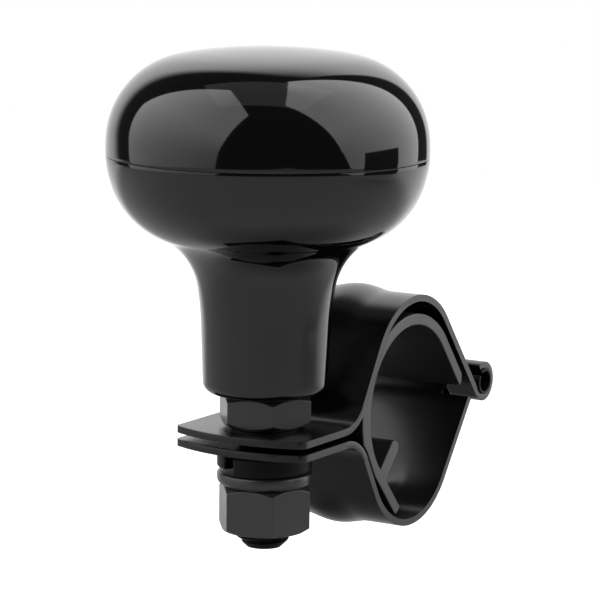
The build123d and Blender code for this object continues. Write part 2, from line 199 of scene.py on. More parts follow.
CAGE_BRASS = finish_material(
    "Pressed brass", (0.6, 0.43, 0.18), 1.0, gloss=(0.25, 0.35), grain=900.0, bump=0.15)
print("finishes:", len([material for material in bpy.data.materials if material.use_nodes]))

# %% [markdown]
# ## Making meshes
# Most pieces are made in one of three ways. A turned piece is an outline spun round the stud. A pressed
# band is a sheet that follows a run of straights and bends. The pad and the hardware are copies of CAD
# nodes with their triangles joined and their edges slightly rounded, because a real edge is never
# perfectly sharp and the light that it catches is what shows the shape of a black part.

# %% Helpers for meshes
MERGE_WITHIN = 0.002
FLAT_WITHIN = 1.0
SHARP_ABOVE = 35.0
ROUNDED_ABOVE = 30.0


def new_object(name, mesh, material):
    obj = bpy.data.objects.new(name, mesh)
    bpy.context.scene.collection.objects.link(obj)
    obj.data.materials.clear()
    obj.data.materials.append(material)
    return obj


def smooth(mesh, angle=SHARP_ABOVE):
    mesh.polygons.foreach_set("use_smooth", [True] * len(mesh.polygons))
    mesh.set_sharp_from_angle(angle=radians(angle))


def bake(obj):
    """Keeps the result of the modifiers as a plain mesh and takes the modifiers off."""
    graph = bpy.context.evaluated_depsgraph_get()
    mesh = bpy.data.meshes.new_from_object(obj.evaluated_get(graph))
    obj.modifiers.clear()
    obj.data = mesh


def settle(obj, angle=SHARP_ABOVE):
    """Bakes the object and shades flat faces flat, right up to their rounded edges."""
    bake(obj)
    smooth(obj.data, angle)
    weighted = obj.modifiers.new("Even shading", "WEIGHTED_NORMAL")
    weighted.keep_sharp = True
    bake(obj)
    return obj


def place(obj, body, cad_node):
    """Says which body a piece rides on and hides the CAD node that it stands for."""
    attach(obj, body)
    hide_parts(cad_node)
    print(obj.name, len(obj.data.polygons), "faces")


def round_edges(obj, width, segments=2, angle=ROUNDED_ABOVE):
    bevel = obj.modifiers.new("Rounded edges", "BEVEL")
    bevel.width = width * MM
    bevel.segments = segments
    bevel.limit_method = "ANGLE"
    bevel.angle_limit = radians(angle)


def cad_copy(node_name, material, edge):
    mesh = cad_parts[node_name].data.copy()
    work = bmesh.new()
    work.from_mesh(mesh)
    bmesh.ops.remove_doubles(work, verts=work.verts, dist=MERGE_WITHIN * MM)
    bmesh.ops.dissolve_limit(work, angle_limit=radians(FLAT_WITHIN), verts=work.verts, edges=work.edges)
    work.to_mesh(mesh)
    work.free()
    smooth(mesh)
    obj = new_object(node_name + "_look", mesh, material)
    round_edges(obj, edge)
    return settle(obj)


# %% [markdown]
# ## Outlines from straights and bends
# A maker's drawing gives a profile as straights and tangent arcs. The same description is used here: a
# start, a heading, and a list of moves. Each point also keeps its sideways direction, so that a wall or
# a sheet's thickness can be set off from it.

# %% Follow a run of moves
STRAIGHT_STEP = 1.0


def straight(length):
    return (length, None)


def bend(radius, angle):
    return (radius, angle)


def sideways(angle):
    return Vector((-sin(angle), cos(angle)))


def follow(start, heading, moves, bend_step):
    """Points along the moves, each with its sideways direction. A bend's step is in degrees."""
    point = Vector(start)
    angle = radians(heading)
    places = [(point.copy(), sideways(angle))]
    for size, sweep in moves:
        if sweep is None:
            count = max(1, round(size / STRAIGHT_STEP))
            for _ in range(count):
                point = point + Vector((cos(angle), sin(angle))) * size / count
                places.append((point.copy(), sideways(angle)))
        else:
            side = 1 if sweep > 0 else -1
            centre = point + sideways(angle) * size * side
            count = max(2, round(abs(sweep) / bend_step))
            for _ in range(count):
                angle += radians(sweep) / count
                point = centre - sideways(angle) * size * side
                places.append((point.copy(), sideways(angle)))
    return places


# %% [markdown]
# A turned piece needs only its outline: each point becomes a ring of vertices round the stud's axis, and a
# point on the axis becomes a single vertex, so that the crown of the dome closes without a pinched hole.

# %% Turn an outline on the stud's axis
TURNED_STEPS = 160
ON_AXIS = 0.001


def turned(name, outline, material):
    """Spins a closed outline of (radius, height) points in mm round the stud's axis."""
    work = bmesh.new()
    rings = []
    for radius, height in outline:
        if radius < ON_AXIS:
            rings.append([work.verts.new((STUD_X * MM, 0, height * MM))])
            continue
        ring = []
        for index in range(TURNED_STEPS):
            turn = 2 * pi * index / TURNED_STEPS
            x = STUD_X + radius * cos(turn)
            ring.append(work.verts.new((x * MM, radius * sin(turn) * MM, height * MM)))
        rings.append(ring)
    for one, two in zip(rings, rings[1:] + rings[:1]):
        for index in range(TURNED_STEPS):
            after = (index + 1) % TURNED_STEPS
            corners = [one[index % len(one)], one[after % len(one)]]
            corners += [two[after % len(two)], two[index % len(two)]]
            corners = list(dict.fromkeys(corners))
            if len(corners) > 2:
                work.faces.new(corners)
    bmesh.ops.recalc_face_normals(work, faces=work.faces)
    mesh = bpy.data.meshes.new(name)
    work.to_mesh(mesh)
    work.free()
    smooth(mesh)
    return new_object(name, mesh, material)


# %% [markdown]
# ## The knob
# The knob is moulded in two shells that meet at a fine seam just below the widest place. Its outline was
# fitted to the silhouette: a nearly flat crown, a tight shoulder, a rounder bowl and a flared neck. The dome
# is spun from the top to the seam with its wall set off inwards. A gloss surface shows every facet
# as a kink in the studio's reflections, so the rings are close together.

# %% Spin the dome
CROWN = [bend(92.4, -7.3), bend(39.5, -5.5), bend(14.9, -73.0), bend(32.7, -4.2)]
BOWL = [bend(18.2, -21.7), bend(14.4, -44.9)]
NECK = [bend(11.1, 57.6), bend(51.9, 7.0)]
SEAM_Z = low("knob_cap", 2)
WALL = 2.6
SEAM_ROUND = 0.06
SEAM_DRAWN_IN = 0.02
KNOB_BEND_STEP = 1.5
CLEAR_OF_AXIS = 0.1


def knob_line():
    return follow((0.0, KNOB_TOP), 0.0, CROWN + BOWL + NECK, KNOB_BEND_STEP)


def dome_outline():
    line = [(spot, side) for spot, side in knob_line() if spot.y > SEAM_Z + SEAM_ROUND]
    outer = [tuple(spot) for spot, _ in line]
    inner = [spot - side * WALL for spot, side in line]
    inner = [(0.0, KNOB_TOP - WALL)] + [tuple(spot) for spot in inner if spot.x > CLEAR_OF_AXIS]
    rim = outer[-1][0]
    lip = [(rim - SEAM_DRAWN_IN, SEAM_Z + SEAM_ROUND / 2), (rim - SEAM_ROUND, SEAM_Z)]
    return outer + lip + [(inner[-1][0], SEAM_Z)] + inner[::-1]


dome = turned("knob_dome", dome_outline(), GLOSS_PLASTIC)
place(dome, "knob", "knob_cap")

# %% [markdown]
# The bowl runs down into the neck without a break. Inside it has a housing for the bearings,
# which is a straight bore above a lip, and the top of the housing stands up in the bowl.

# %% Spin the bowl and neck
SEAM_GAP = 0.06
BODY_TOP = SEAM_Z - SEAM_GAP
FOOT_ROUND = 2.0
FOOT_BEND_STEP = 6.0
NECK_LEAN = 2.0
LIP_RADIUS = 6.0
LIP_TOP = low("lower_bearing_outer_ring", 2)
BORE_RADIUS = 8.02
HOUSING_WALL = 2.4
HOUSING_TOP = 31.0
BOWL_FLOOR = 27.5
TONGUE_TOP = high("knob_body", 2)
TONGUE_THICK = 1.2
TONGUE_ROOT = 1.0


def neck_foot(start):
    """The last straight of the neck and the round under it."""
    drop = start.y - NECK_FOOT - FOOT_ROUND * (1 - sin(radians(NECK_LEAN)))
    moves = [straight(drop), bend(FOOT_ROUND, NECK_LEAN - 90.0)]
    return follow(start, -90.0 - NECK_LEAN, moves, FOOT_BEND_STEP)[1:]


def body_outline():
    line = knob_line()
    outer = [spot for spot, _ in line if spot.y < BODY_TOP - SEAM_ROUND]
    rim = outer[0].x
    housing = BORE_RADIUS + HOUSING_WALL
    inner = [spot - side * WALL for spot, side in line if spot.y < BODY_TOP]
    inner = [spot for spot in inner if spot.y > BOWL_FLOOR and spot.x > housing]
    points = [(rim - SEAM_ROUND, BODY_TOP), (rim - SEAM_DRAWN_IN, BODY_TOP - SEAM_ROUND / 2)]
    points += [tuple(spot) for spot in outer] + [tuple(spot) for spot, _ in neck_foot(outer[-1])]
    points += [(LIP_RADIUS, NECK_FOOT), (LIP_RADIUS, LIP_TOP), (BORE_RADIUS, LIP_TOP)]
    points += [(BORE_RADIUS, HOUSING_TOP), (housing, HOUSING_TOP), (housing, BOWL_FLOOR)]
    points += [(inner[-1].x, BOWL_FLOOR)] + [tuple(spot) for spot in inner[::-1]]
    tongue_in = rim - WALL
    tongue_out = tongue_in + TONGUE_THICK
    points += [(tongue_in, BODY_TOP - TONGUE_ROOT), (tongue_in, TONGUE_TOP)]
    return points + [(tongue_out, TONGUE_TOP), (tongue_out, BODY_TOP)]


bowl = turned("knob_bowl", body_outline(), GLOSS_PLASTIC)
place(bowl, "knob", "knob_body")

# %% [markdown]
# ## Pressed bands
# Each band starts as flat strip, is bent round formers, gets a shallow bead down its middle and has its end
# rolled into a hinge knuckle. A sheet is built the same way: a grid that follows the run of
# bends, lifted over the bead, and then thickened with Solidify and softened with Bevel.

# %% Describe the two runs of bends
SHEET = 1.2
FLANGE_END = low("upper_clamp", 0)
UPPER_FLANGE = -0.9
LOWER_FLANGE = -3.2
HINGE = Vector((low("hinge_pin", 0) + high("hinge_pin", 0), low("hinge_pin", 2) + high("hinge_pin", 2))) / 2
KNUCKLE = 3.0
KNUCKLE_WRAP = 262.0
ARCH = Vector((1.1, 4.85))
ARCH_RADIUS = 14.0
BELLY_RADIUS = 14.2
BELLY_Z = -6.65
UPPER_NEAR, UPPER_FAR = 59.0, 51.0
LOWER_NEAR, LOWER_FAR = 60.0, 53.8
UPPER_FLANGE_BEND = 7.1
LOWER_FLANGE_BEND = 7.5


def slope_way(angle, sign):
    """From an arc's centre to the point an angle past its crown. Sign is 1 for a crown above, -1 below."""
    return Vector((sin(radians(angle)), sign * cos(radians(angle))))


def band_run(flange_z, centre, radius, near, far, flange_bend):
    """Moves from the flange's end to the start of the knuckle.

    Near is the first slope in degrees, upwards if positive. Far is how steep the last one is.
    """
    sign = 1 if near > 0 else -1
    near_slope = abs(near)
    bend_z = flange_z + sign * flange_bend * (1 - cos(radians(near_slope)))
    start = centre + slope_way(-near_slope, sign) * radius
    near_length = abs(start.y - bend_z) / sin(radians(near_slope))
    run = near_length * cos(radians(near_slope)) + flange_bend * sin(radians(near_slope))
    flat = start.x - run - FLANGE_END
    end = centre + slope_way(far, sign) * radius
    knuckle = HINGE - slope_way(far, sign) * KNUCKLE
    far_length = (knuckle - end).length
    moves = [straight(flat), bend(flange_bend, near), straight(near_length)]
    return moves + [bend(radius, -sign * (near_slope + far)), straight(far_length)]


def belly_centre(far):
    """Where the belly's arc has its centre, so that its far wall runs straight into the knuckle."""
    knuckle_z = HINGE.y + KNUCKLE * cos(radians(far))
    belly_end = BELLY_Z - BELLY_RADIUS * cos(radians(far))
    run = (knuckle_z - belly_end) / tan(radians(far))
    return Vector((HINGE.x - (KNUCKLE + BELLY_RADIUS) * sin(radians(far)) - run, BELLY_Z))


BELLY = belly_centre(LOWER_FAR)
UPPER_RUN = band_run(UPPER_FLANGE, ARCH, ARCH_RADIUS, UPPER_NEAR, UPPER_FAR, UPPER_FLANGE_BEND)
LOWER_RUN = band_run(LOWER_FLANGE, BELLY, BELLY_RADIUS, -LOWER_NEAR, LOWER_FAR, LOWER_FLANGE_BEND)
print("upper run", [round(size, 2) for size, _ in UPPER_RUN])
print("lower run", [round(size, 2) for size, _ in LOWER_RUN])

# %% [markdown]
# Three things change the plain strip. Its flange end is cut to a curve with small corners, a bead is
# pressed along the crown to stiffen it and fades out at both ends, and near the hinge the strip is notched
# so that the knuckles of the two bands lie side by side on one pin.

# %% Shape the strip's end and bead
END_RADIUS = 29.0
CORNER = 0.6
BEAD_WIDTH = 12.0
BEAD_HEIGHT = 0.9
BEAD_SPREAD = 62.0
BEAD_FADE = 22.0


def flange_edge(y):
    """How far the flange's end is cut back at this place across its width."""
    back = END_RADIUS - sqrt(END_RADIUS ** 2 - y ** 2)
    over = abs(y) - (BAND_WIDTH / 2 - CORNER)
    if over > 0:
        back += CORNER - sqrt(max(0.0, CORNER ** 2 - over ** 2))
    return back


def ease(value):
    value = min(1.0, max(0.0, value))
    return value * value * (3 - 2 * value)


def bead_lift(turn, y):
    """Height of the bead at an angle from the crown, in degrees, and a place across the strip."""
    across = 0.0 if abs(y) > BEAD_WIDTH / 2 else cos(pi * y / BEAD_WIDTH) ** 2
    return BEAD_HEIGHT * across * ease((BEAD_SPREAD - abs(turn)) / BEAD_FADE)


print("flange's corners are cut back", round(flange_edge(BAND_WIDTH / 2), 2), "mm from its middle")

# %% [markdown]
# The grid has a row for each point of the run and a column for each place across the strip. One column lies
# exactly on the knuckle's edge and one where the flange's corner starts, because a cut follows them there.

# %% Build a band as a grid
RELIEF = 5.4
ROW_BEND_STEP = 2.0
COLUMN_STEP = 0.4
FEWEST_COLUMNS = 3
LEVEL_WITHIN = 0.001


def rows_of_band(start_z, run, roll, side, centre):
    rows = []
    moves = run + [bend(KNUCKLE, roll)]
    for point, normal in follow((FLANGE_END, start_z), 0.0, moves, ROW_BEND_STEP):
        turn = Vector((0, side)).angle_signed(point - centre) * 180 / pi
        rows.append((point, normal, turn))
    return rows


def band_columns(knuckle_edge):
    half = BAND_WIDTH / 2
    marks = [0.0, knuckle_edge, half - CORNER, half]
    columns = []
    for start, end in zip(marks, marks[1:]):
        count = max(FEWEST_COLUMNS, round((end - start) / COLUMN_STEP))
        columns += [start + (end - start) * index / count for index in range(count)]
    columns.append(half)
    return [-value for value in columns[:0:-1]] + columns


def strip_mesh(name, start_z, run, side, centre, knuckle_edge, knuckle_outside):
    """The strip's middle sheet. Side is 1 for the band above and -1 for the one below."""
    rows = rows_of_band(start_z, run, KNUCKLE_WRAP * side, side, centre)
    columns = band_columns(knuckle_edge)
    flat = run[0][0]
    work = bmesh.new()
    grid = []
    for point, normal, turn in rows:
        near_hinge = (point - HINGE).length <= RELIEF
        along = (point.x - FLANGE_END) / flat
        on_flange = along < 1.0 and abs(point.y - start_z) < LEVEL_WITHIN
        line = []
        for y in columns:
            lift = 0.0 if near_hinge else bead_lift(turn, y) * side
            x = point.x + normal.x * lift
            z = point.y + normal.y * lift
            if on_flange:
                x += flange_edge(y) * (1 - along)
            line.append(work.verts.new((x * MM, y * MM, z * MM)))
        grid.append(line)
    for one, two, (point, _, _) in zip(grid, grid[1:], rows[1:]):
        near_hinge = (point - HINGE).length < RELIEF
        for index in range(len(columns) - 1):
            outside = abs(columns[index] + columns[index + 1]) / 2 > knuckle_edge
            if near_hinge and outside != knuckle_outside:
                continue
            work.faces.new([one[index], one[index + 1], two[index + 1], two[index]])
    loose = [vert for vert in work.verts if not vert.link_faces]
    bmesh.ops.delete(work, geom=loose, context="VERTS")
    mesh = bpy.data.meshes.new(name)
    work.to_mesh(mesh)
    work.free()
    return mesh


def band(name, *strip):
    obj = new_object(name, strip_mesh(name, *strip), POWDER_COAT)
    thick = obj.modifiers.new("Sheet", "SOLIDIFY")
    thick.thickness = SHEET * MM
    thick.offset = 0.0
    thick.use_even_offset = True
    return obj


# %% [markdown]
# The hole is punched with a Boolean before the edges are rounded, so that its rim gets the same small round
# as the sheared edges. A sharp edge would show as a hard line, where the coated one holds a soft highlight.

# %% Cut the stud's hole and round the edges
HOLE_RADIUS = 5.2
HOLE_STEPS = 64
SHEET_EDGE = 0.16
SHEET_EDGE_STEPS = 3
SHEET_EDGE_ANGLE = 50.0


def stud_hole(z):
    depth = 4 * SHEET * MM
    bpy.ops.mesh.primitive_cylinder_add(vertices=HOLE_STEPS, radius=HOLE_RADIUS * MM, depth=depth)
    cutter = bpy.context.object
    cutter.data.transform(Matrix.Translation((STUD_X * MM, 0, z * MM)))
    return cutter


def finish_band(obj, z, body, cad_node):
    cutter = stud_hole(z)
    hole = obj.modifiers.new("Stud hole", "BOOLEAN")
    hole.operation = "DIFFERENCE"
    hole.object = cutter
    hole.solver = "EXACT"
    settle(obj)
    round_edges(obj, SHEET_EDGE, SHEET_EDGE_STEPS, SHEET_EDGE_ANGLE)
    settle(obj, SHEET_EDGE_ANGLE)
    bpy.data.objects.remove(cutter)
    place(obj, body, cad_node)


FRONT_KNUCKLE = 5.6
KNUCKLE_GAP = 0.25
upper_edge = BAND_WIDTH / 2 - FRONT_KNUCKLE
upper_band = band("upper_band", UPPER_FLANGE, UPPER_RUN, 1, ARCH, upper_edge, True)
finish_band(upper_band, UPPER_FLANGE, "clamp_frame", "upper_clamp")
lower_edge = upper_edge - KNUCKLE_GAP
lower_band = band("lower_band", LOWER_FLANGE, LOWER_RUN, -1, BELLY, lower_edge, False)
finish_band(lower_band, LOWER_FLANGE, "lower_band", "lower_clamp")

# %% [markdown]
# ## Rubber pad
# The pad is an extruded strip, cut to the bands' width. Its CAD solid already has the right outline, so a
# copy with softened edges is enough: they are rounder than the edges of the steel bands.

# %% Copy the pad
PAD_EDGE = 0.3
pad = cad_copy("rim_pad", RUBBER, PAD_EDGE)
place(pad, "clamp_frame", "rim_pad")

# %% [markdown]
# ## Threaded stud
# A screw thread is one groove wound round a bar. Each vertex of a fine tube is drawn in by a depth that
# depends on its height and its angle together, so that the groove climbs one pitch in a full turn.

# %% Wind the threads on the stud
PITCH = 25.4 / 16
TOP_PITCH = 1.25
THREAD_RADIUS = 4.7
SHANK = 3.98
COLLAR = 5.5
STUD_TIP = low("stud", 2)
STUD_TOP = high("stud", 2)
JAM_TOP = high("jam_nut", 2)
SEAT_Z = low("lower_bearing_inner_ring", 2)
LOCK_Z = low("lock_nut", 2)
TIP_CHAMFER = 1.7
TOP_CHAMFER = 0.8
THREAD_DEPTH = 0.6
THREAD_FLAT = 0.125
THREAD_ANGLE = 40.0
STUD_STEPS = 72
TIP_ROWS = 160
TOP_ROWS = 60
SHOULDER = 0.01


def stud_radius(z, turn):
    """Radius at a height and a turn: threaded at both ends, with a plain collar and shank between them."""
    if z < JAM_TOP:
        full, pitch = THREAD_RADIUS, PITCH
        start = full - TIP_CHAMFER + (z - STUD_TIP)
    elif z < SEAT_Z:
        return COLLAR
    elif z < LOCK_Z:
        return SHANK
    else:
        full, pitch = SHANK, TOP_PITCH
        start = full - TOP_CHAMFER + (STUD_TOP - z)
    wave = abs(((z / pitch - turn / (2 * pi)) % 1.0) * 2 - 1)
    depth = THREAD_DEPTH * pitch * min(1.0, max(0.0, wave * (1 + 2 * THREAD_FLAT) - THREAD_FLAT))
    return min(full - depth, start)


def stud_heights():
    tip = [STUD_TIP + (JAM_TOP - STUD_TIP) * index / TIP_ROWS for index in range(TIP_ROWS + 1)]
    tip[-1] -= SHOULDER
    middle = [JAM_TOP + SHOULDER, SEAT_Z - SHOULDER, SEAT_Z + SHOULDER, LOCK_Z - SHOULDER]
    thread = STUD_TOP - LOCK_Z - SHOULDER
    return tip + middle + [LOCK_Z + SHOULDER + thread * index / TOP_ROWS for index in range(TOP_ROWS + 1)]


def threaded_stud():
    work = bmesh.new()
    rings = []
    for z in stud_heights():
        ring = []
        for index in range(STUD_STEPS):
            turn = 2 * pi * index / STUD_STEPS
            radius = stud_radius(z, turn)
            x = STUD_X + radius * cos(turn)
            ring.append(work.verts.new((x * MM, radius * sin(turn) * MM, z * MM)))
        rings.append(ring)
    for one, two in zip(rings, rings[1:]):
        for index in range(STUD_STEPS):
            after = (index + 1) % STUD_STEPS
            work.faces.new([one[index], one[after], two[after], two[index]])
    work.faces.new(rings[0][::-1])
    work.faces.new(rings[-1])
    mesh = bpy.data.meshes.new("threaded_stud")
    work.to_mesh(mesh)
    work.free()
    smooth(mesh, THREAD_ANGLE)
    return new_object("threaded_stud", mesh, DULL_OXIDE)


place(threaded_stud(), "clamp_frame", "stud")

# %% [markdown]
# ## Nuts, washers and pin
# These are bought parts. The copies keep the CAD's chamfers and get small rounded edges. The list gives each
# one its finish, the width of its edges in mm, its body and its material slot.

# %% Copy the hardware
HARDWARE = [
    ("jam_nut", BLACK_OXIDE, 0.15, "clamp_frame", "nut_black"),
    ("clamp_nut", BLACK_OXIDE, 0.18, "nut", "nut_black"),
    ("spring_washer", DULL_OXIDE, 0.35, "washers", "spring_black"),
    ("plain_washer", DARK_PLATING, 0.12, "washers", "washer_steel"),
    ("hinge_pin", DULL_OXIDE, 0.1, "clamp_frame", "pin_steel"),
    ("thrust_washer", DARK_PLATING, 0.1, "clamp_frame", "washer_steel"),
    ("lock_nut", BLACK_OXIDE, 0.15, "clamp_frame", "nut_black"),
    ("bore_circlip", DULL_OXIDE, 0.08, "knob", "spring_black"),
]
for cad_node, material, edge, body, finish_slot in HARDWARE:
    place(cad_copy(cad_node, material, edge), body, cad_node)

# %% [markdown]
# ## Ball bearings
# Two small deep-groove bearings sit in the neck. Their balls repeat evenly round a circle, which is a job for
# Geometry Nodes: a mesh circle gives the places, and one ball is set on each of them.

# %% Build the ball ring tree
BALL_SEGMENTS = 24
BALL_RINGS = 16


def ball_ring_tree():
    tree = bpy.data.node_groups.new("Ball ring", "GeometryNodeTree")
    inputs = {
        "Balls": "NodeSocketInt",
        "Circle radius": "NodeSocketFloat",
        "Ball radius": "NodeSocketFloat",
        "Centre": "NodeSocketVector",
        "Material": "NodeSocketMaterial",
    }
    for name, kind in inputs.items():
        tree.interface.new_socket(name=name, in_out="INPUT", socket_type=kind)
    tree.interface.new_socket(name="Geometry", in_out="OUTPUT", socket_type="NodeSocketGeometry")
    given = node(tree, "NodeGroupInput")
    result = node(tree, "NodeGroupOutput")
    circle = node(tree, "GeometryNodeMeshCircle")
    ball = node(tree, "GeometryNodeMeshUVSphere")
    ball.inputs["Segments"].default_value = BALL_SEGMENTS
    ball.inputs["Rings"].default_value = BALL_RINGS
    copies = node(tree, "GeometryNodeInstanceOnPoints")
    real = node(tree, "GeometryNodeRealizeInstances")
    move = node(tree, "GeometryNodeTransform")
    paint = node(tree, "GeometryNodeSetMaterial")
    links = tree.links
    links.new(given.outputs["Balls"], circle.inputs["Vertices"])
    links.new(given.outputs["Circle radius"], circle.inputs["Radius"])
    links.new(given.outputs["Ball radius"], ball.inputs["Radius"])
    links.new(circle.outputs["Mesh"], copies.inputs["Points"])
    links.new(ball.outputs["Mesh"], copies.inputs["Instance"])
    links.new(copies.outputs["Instances"], move.inputs["Geometry"])
    links.new(given.outputs["Centre"], move.inputs["Translation"])
    links.new(move.outputs["Geometry"], real.inputs["Geometry"])
    links.new(real.outputs["Geometry"], paint.inputs["Geometry"])
    links.new(given.outputs["Material"], paint.inputs["Material"])
    links.new(paint.outputs["Geometry"], result.inputs["Geometry"])
    return tree


BALL_RING = ball_ring_tree()
print("ball ring tree:", len(BALL_RING.nodes), "nodes")

# %% [markdown]
# The sizes of a ring of balls come from the box round its CAD node: its height is a ball's diameter, and its
# farthest side is the circle's radius and one ball's radius more. The modifier's inputs are set by their
# identifiers, and its result is then kept as a plain mesh.

# %% Make the two rings of balls
BALLS_IN_A_RING = 7
ALWAYS_SMOOTH = 180.0


def set_input(modifier, name, value):
    for item in modifier.node_group.interface.items_tree:
        if item.item_type == "SOCKET" and item.in_out == "INPUT" and item.name == name:
            modifier[item.identifier] = value


def ball_ring(name, cad_node):
    obj = new_object(name, bpy.data.meshes.new(name), POLISHED_STEEL)
    modifier = obj.modifiers.new("Balls", "NODES")
    modifier.node_group = BALL_RING
    ball = (high(cad_node, 2) - low(cad_node, 2)) / 2
    set_input(modifier, "Balls", BALLS_IN_A_RING)
    set_input(modifier, "Circle radius", (high(cad_node, 0) - STUD_X - ball) * MM)
    set_input(modifier, "Ball radius", ball * MM)
    set_input(modifier, "Centre", (STUD_X * MM, 0.0, (low(cad_node, 2) + ball) * MM))
    set_input(modifier, "Material", POLISHED_STEEL)
    return settle(obj, ALWAYS_SMOOTH)


for level in ("lower", "upper"):
    balls = ball_ring(level + "_balls", level + "_bearing_balls")
    place(balls, level + "_ball_set", level + "_bearing_balls")

# %% [markdown]
# The rings, cages and sleeves are hidden in the neck. Their CAD nodes already have the right form, so they
# are kept as they are and only painted: ground steel, and pressed brass for the cages.

# %% Paint the bearing rings, cages and sleeves
HIDDEN = {"inner_sleeve": GROUND_STEEL, "outer_sleeve": GROUND_STEEL}
for level in ("lower", "upper"):
    HIDDEN[level + "_bearing_cage"] = CAGE_BRASS
    HIDDEN[level + "_bearing_inner_ring"] = GROUND_STEEL
    HIDDEN[level + "_bearing_outer_ring"] = GROUND_STEEL
for cad_node, material in HIDDEN.items():
    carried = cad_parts[cad_node]
    carried.data.materials.clear()
    carried.data.materials.append(material)
print("painted CAD nodes:", ", ".join(sorted(HIDDEN)))

# %% [markdown]
# ## Studio
# The reflections in the polished knob are a map of the room: two tall soft boxes that widen towards their
# heads, a pale backdrop behind, a dim panel overhead and darkness round the camera. Directions are given as
# an azimuth and an elevation, seen from a target inside the knob. Azimuth 0 looks from the front, and it
# grows to the right.

# %% Directions and small sums for shaders
TARGET = Vector((STUD_X * MM, 0, 0.03))
WHITE = (1.0, 1.0, 1.0, 1.0)


def towards(azimuth, elevation):
    a, e = radians(azimuth), radians(elevation)
    return Vector((sin(a) * cos(e), -cos(a) * cos(e), sin(e)))


def aside(way):
    """The level direction to the right, for someone who looks at the target from this way."""
    return Vector((-way.y, way.x, 0.0))


def ramp(tree, value, begin, end, first, last):
    """A smooth step from the first number at one place to the last number at another."""
    step = node(tree, "ShaderNodeMapRange", interpolation_type="SMOOTHSTEP")
    step.inputs["From Min"].default_value = begin
    step.inputs["From Max"].default_value = end
    step.inputs["To Min"].default_value = first
    step.inputs["To Max"].default_value = last
    tree.links.new(value, step.inputs["Value"])
    return step.outputs["Result"]


def combine(tree, operation, first, second):
    """One operation on two terms, each a socket or a number."""
    result = node(tree, "ShaderNodeMath", operation=operation)
    for socket, term in zip(result.inputs, (first, second)):
        if isinstance(term, float):
            socket.default_value = term
        else:
            tree.links.new(term, socket)
    return result.outputs["Value"]


def axis_part(tree, vector, axis):
    """How far a direction goes along an axis."""
    part = node(tree, "ShaderNodeVectorMath", operation="DOT_PRODUCT")
    part.inputs[1].default_value = axis
    tree.links.new(vector, part.inputs[0])
    return part.outputs["Value"]


def shown_in_gloss(tree, path):
    """1 for a ray that a polished surface or glass has sent on, and 0 for the others."""
    return combine(tree, "MAXIMUM", path.outputs["Is Glossy Ray"], path.outputs["Is Transmission Ray"])


print("target, mm:", [round(value / MM, 1) for value in TARGET])

# %% [markdown]
# A soft box is a flat glowing card, laid out in slopes from the knob: how far each corner lies to the side
# and up for each step towards the card. The same slopes are its UV map, so its glow can fade towards its foot
# and towards one side. Such fades are what make a reflection look soft instead of pasted on.

# %% Soft boxes
BOX_DISTANCE = 0.7


def glow(name, brightness, foot, sides):
    """Light that fades. A foot is (from, to, its share) in slopes up, sides are (from, to, share, share)."""
    paint = bpy.data.materials.new(name)
    paint.use_nodes = True
    tree = paint.node_tree
    tree.nodes.clear()
    where = node(tree, "ShaderNodeTexCoord")
    split = node(tree, "ShaderNodeSeparateXYZ")
    light = node(tree, "ShaderNodeEmission")
    out = node(tree, "ShaderNodeOutputMaterial")
    tree.links.new(where.outputs["UV"], split.inputs["Vector"])
    upwards = ramp(tree, split.outputs["Y"], *foot, 1.0)
    across = ramp(tree, split.outputs["X"], *sides)
    shape = combine(tree, "MULTIPLY", upwards, across)
    tree.links.new(combine(tree, "MULTIPLY", shape, brightness), light.inputs["Strength"])
    tree.links.new(light.outputs["Emission"], out.inputs["Surface"])
    return paint


def soft_box(name, azimuth, corners, paint):
    """A card square to an azimuth, with each corner given as its slopes aside and up."""
    way = towards(azimuth, 0.0)
    work = bmesh.new()
    slopes = work.loops.layers.uv.new("slopes")
    points = [TARGET + (way + aside(way) * u + Vector((0, 0, v))) * BOX_DISTANCE for u, v in corners]
    face = work.faces.new([work.verts.new(point) for point in points])
    for loop, corner in zip(face.loops, corners):
        loop[slopes].uv = corner
    mesh = bpy.data.meshes.new(name)
    work.to_mesh(mesh)
    work.free()
    box = new_object(name, mesh, paint)
    box.visible_camera = False
    print(name, len(corners), "corners, azimuth", azimuth)


LEFT_CORNERS = ((-0.36, -0.3), (1.3, -0.3), (3.0, 3.7), (0.0, 3.35), (-0.56, 0.6))
RIGHT_CORNERS = ((-0.55, -0.3), (0.69, -0.3), (1.55, 6.9), (-3.3, 6.9), (-0.92, 0.09))
LEFT_GLOW = glow("Left box glow", 3.0, (-0.3, 0.9, 0.42), (-0.4, 1.3, 1.0, 0.66))
RIGHT_GLOW = glow("Right box glow", 3.4, (-0.3, 0.9, 0.58), (-1.0, 0.7, 0.66, 1.0))
soft_box("left box", -148.0, LEFT_CORNERS, LEFT_GLOW)
soft_box("right box", 36.6, RIGHT_CORNERS, RIGHT_GLOW)

# %% [markdown]
# The panel overhead is an area lamp. It lights the crown, the tops of the flanges and the floor. Its power is
# worked out from how bright its face should look, so that its size can change without a new guess.

